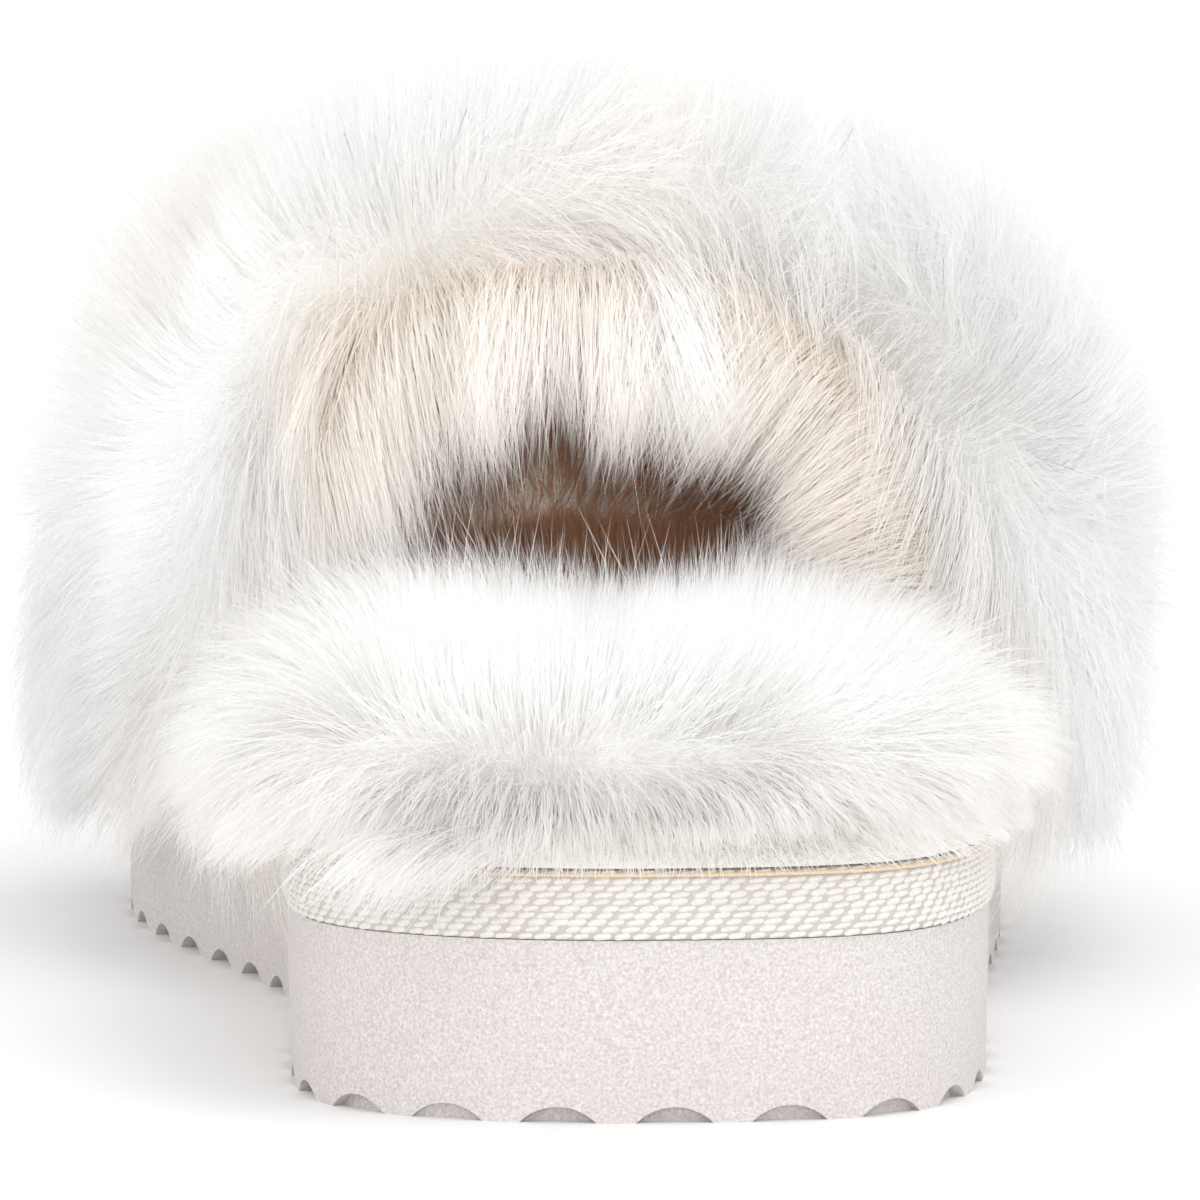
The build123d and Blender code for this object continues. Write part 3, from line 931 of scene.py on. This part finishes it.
sock_roots = joined(footbed_fur(100000, seed=13), heel_lock(700, seed=17))
footbed_parts = grow(
    "footbed_fur", sock_roots, pieces=4, seed=70,
    material=sock_pile, width=0.135 * MM,
    locks=Gathering(guides=0.008, least=0.02, most=0.18, power=1.6),
    wisps=Gathering(guides=0.14, least=0.00, most=0.32, power=1.5),
)
footbed_parts += grow(
    "footbed_guard_hairs", guard_hairs(60, seed=19), pieces=1, seed=80,
    material=sock_pile, width=0.15 * MM,
    locks=Gathering(guides=0.5, least=0.0, most=0.1, power=1.6),
    wisps=Gathering(guides=0.5, least=0.0, most=0.1, power=1.5),
)
footbed_parts.append(sock_underfur)
for piece in footbed_parts:
    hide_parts("footbed_fur")


# ==== platform tape: a band of cloth, its weave and the seam thread =================
TAPE_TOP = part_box("platform_tape")[1][2]
TAPE_OUT = edge[:, 0].min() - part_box("platform_tape")[0][0]
BAND_POINTS = 600


def tape_band():
    """The tape's ground cloth: it bulges a little and turns in under the footbed's edge."""
    profile = [
        (0.3 * MM, tape_low + 0.02 * MM),
        (-0.5 * TAPE_OUT, tape_low + 0.25 * MM),
        (-0.9 * TAPE_OUT, tape_low + 1.2 * MM),
        (-TAPE_OUT, (tape_low + TAPE_TOP) / 2),
        (-0.9 * TAPE_OUT, TAPE_TOP - 1.3 * MM),
        (-0.5 * TAPE_OUT, TAPE_TOP - 0.4 * MM),
        (0.5 * MM, TAPE_TOP + 0.02 * MM),
        (2.4 * MM, TAPE_TOP + 0.02 * MM),
    ]
    return ring_shell("tape_band", profile, 0.0, BAND_POINTS, shaded_tape_ground)


TAPE_ROWS = 10
FLOAT_PITCH = 2.15 * MM
TWILL_SHIFT = 0.36
FLOAT_LIFT = 0.34 * MM
FLOAT_TILT = 0.14
FLOAT_SUNK = 0.06 * MM


def tape_weave(seed):
    """Short plump floats in rows, each row shifted about a third of a float, as in twill."""
    rng = np.random.default_rng(seed)
    along, across = 6, 4
    row_pitch = (TAPE_TOP - tape_low - 0.3 * MM) / TAPE_ROWS
    per_row = round(edge_length / FLOAT_PITCH)
    pitch = edge_length / per_row
    u, v = (g.reshape(-1) for g in np.meshgrid(np.linspace(-1, 1, along), np.linspace(-1, 1, across)))
    spread = 0.45 * np.column_stack([u / per_row, v / TAPE_ROWS])
    quads = grid_quads(across, along)
    points, faces, uvs = [], [], []
    for row in range(TAPE_ROWS):
        level = tape_low + 0.15 * MM + (row + 0.5) * row_pitch
        height_share = (row + 0.5) / TAPE_ROWS * 2 - 1
        crown = TAPE_OUT * (1 - 0.55 * height_share**4)
        shift = TWILL_SHIFT * row + 0.10 * rng.normal()
        for k in range(per_row):
            middle = (k + shift) * pitch + rng.normal() * 0.12 * MM
            half_long = 0.46 * pitch * rng.uniform(0.84, 1.08)
            half_high = 0.48 * row_pitch * rng.uniform(0.80, 1.10)
            lift = FLOAT_LIFT * rng.uniform(0.7, 1.25)
            walked = middle + u * half_long * (1 - 0.10 * v**2)
            height = level + v * half_high * (1 - 0.25 * u**4) + FLOAT_TILT * row_pitch * u
            out = crown - FLOAT_SUNK + lift * (1 - 0.85 * u**4) * (1 - 0.9 * v**2)
            faces.append(quads + len(points) * along * across)
            points.append(on_edge(walked % edge_length, out, height))
            uvs.append(spread + [(k + 0.5) / per_row, height_share * 0.48 + 0.5])
    piece = mesh_piece("tape_weave", np.vstack(points), np.vstack(faces), tape_yarn)
    corner = np.empty(len(piece.data.loops), dtype=np.int64)
    piece.data.loops.foreach_get("vertex_index", corner)
    set_uv(piece.data, np.vstack(uvs)[corner])
    return piece


def round_cord(name, line, radius, sides, material):
    """A closed round cord along a closed line of points."""
    count = len(line)
    along = unit(np.roll(line, -1, axis=0) - np.roll(line, 1, axis=0))
    across = unit(np.cross(along, UP))
    other = np.cross(across, along)
    rings = []
    for k in range(sides):
        angle = 2 * math.pi * k / sides
        rings.append(line + radius * (math.cos(angle) * across + math.sin(angle) * other))
    points = np.stack(rings, axis=1).reshape(-1, 3)
    faces = []
    for i in range(count):
        for k in range(sides):
            a = i * sides + k
            b = i * sides + (k + 1) % sides
            c = (i + 1) % count * sides + (k + 1) % sides
            d = (i + 1) % count * sides + k
            faces.append((a, b, c, d))
    return mesh_piece(name, points, faces, material)


STITCH = 2.4 * MM
POINTS_PER_STITCH = 6
THREAD_RADIUS = 0.24 * MM
THREAD_SIDES = 6


def seam_thread():
    """The sock's seam: a thread that dips into the cloth between stitches."""
    low, high = (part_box("sock_seam_thread")[k][2] for k in (0, 1))
    stitches = round(edge_length / STITCH)
    count = stitches * POINTS_PER_STITCH
    walked = np.linspace(0, edge_length, count, endpoint=False)
    wave = np.abs(np.sin(np.pi * walked / edge_length * stitches))
    out = TAPE_OUT + 0.10 * MM + 0.22 * MM * np.sqrt(wave)
    height = np.full(count, (low + high) / 2 + 0.35 * MM)
    line = on_edge(walked, out, height)
    return round_cord("seam_thread", line, THREAD_RADIUS, THREAD_SIDES, thread)


band = tape_band()
weave = tape_weave(seed=91)
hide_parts("platform_tape")
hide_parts("platform_tape")
seam = seam_thread()
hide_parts("sock_seam_thread")


# ==== looks of the CAD nodes that show ==============================================
looks = {
    "outsole": sole_foam,
    "platform_foam": cell_foam,
    "insole_board": fibre_board,
    "vamp_interlining": felted,
    "topline_seam_thread": thread,
}
for node, material in looks.items():
    mesh = nodes[node].data
    if not mesh.materials:
        mesh.materials.append(material)
    for slot in nodes[node].material_slots:
        slot.material = material

# ==== stage, light and camera =======================================================
FLOOR = 6.0
FLOOR_GREY = 0.85
SKY_STRENGTH = 1.22


def white_floor():
    """A matt floor so wide that its edges lie out of sight."""
    material, _, shader = new_material("floor_white")
    shader.inputs["Base Color"].default_value = (FLOOR_GREY, FLOOR_GREY, FLOOR_GREY, 1)
    shader.inputs["Roughness"].default_value = 0.9
    mesh = bpy.data.meshes.new("floor")
    corners = [(-FLOOR, -FLOOR, 0), (FLOOR, -FLOOR, 0), (FLOOR, FLOOR, 0), (-FLOOR, FLOOR, 0)]
    mesh.from_pydata(corners, [], [(0, 1, 2, 3)])
    mesh.materials.append(material)
    floor = bpy.data.objects.new("floor", mesh)
    bpy.context.scene.collection.objects.link(floor)
    return floor


white_floor()
world = bpy.data.worlds.new("studio")
bpy.context.scene.world = world
world.use_nodes = True
world.node_tree.nodes["Background"].inputs["Color"].default_value = (1, 1, 1, 1)
world.node_tree.nodes["Background"].inputs["Strength"].default_value = SKY_STRENGTH


def aimed_light(name, data, place, target):
    """A lamp at a place that shines at a target."""
    lamp = bpy.data.objects.new(name, data)
    lamp.location = place
    lamp.rotation_euler = (Vector(target) - Vector(place)).to_track_quat("-Z", "Y").to_euler()
    bpy.context.scene.collection.objects.link(lamp)
    return lamp


def area_light(name, place, target, power, side):
    """A square light with this side in metres."""
    data = bpy.data.lights.new(name, "AREA")
    data.energy = power
    data.size = side
    return aimed_light(name, data, place, target)


def spot_light(name, place, target, power, radius):
    """A soft narrow light whose pool has about this radius at its target."""
    distance = (Vector(target) - Vector(place)).length
    data = bpy.data.lights.new(name, "SPOT")
    data.energy = power
    data.spot_size = 2 * math.atan(radius / distance)
    data.spot_blend = 1.0
    data.shadow_soft_size = 0.03
    return aimed_light(name, data, place, target)


area_light("key", place=(0.50, -0.70, 1.30), target=(0, -0.02, 0.04), power=3.5, side=0.8)
area_light("front", place=(0.0, -1.75, 0.26), target=(0, 0, 0.05), power=5.8, side=0.6)
spot_light(
    "mouth", place=(0.02, -1.65, 0.270), target=(-0.002, 0.02, 0.064), power=105.0, radius=35 * MM
)

bpy.context.scene.view_settings.view_transform = "Standard"

DISTANCE = 1.5
EYE_HEIGHT = 0.2106
PITCH = math.radians(5.81)
CAMERA_X = 1 * MM
LENS = 412.65
SENSOR_WIDTH = 36.0
heel_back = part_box("outsole")[0][1]
camera_data = bpy.data.cameras.new("camera")
camera_data.lens = LENS
camera_data.sensor_width = SENSOR_WIDTH
camera = bpy.data.objects.new("camera", camera_data)
camera.location = (CAMERA_X, heel_back - DISTANCE, EYE_HEIGHT)
camera.rotation_euler = (math.pi / 2 - PITCH, 0, 0)
bpy.context.scene.collection.objects.link(camera)
bpy.context.scene.camera = camera
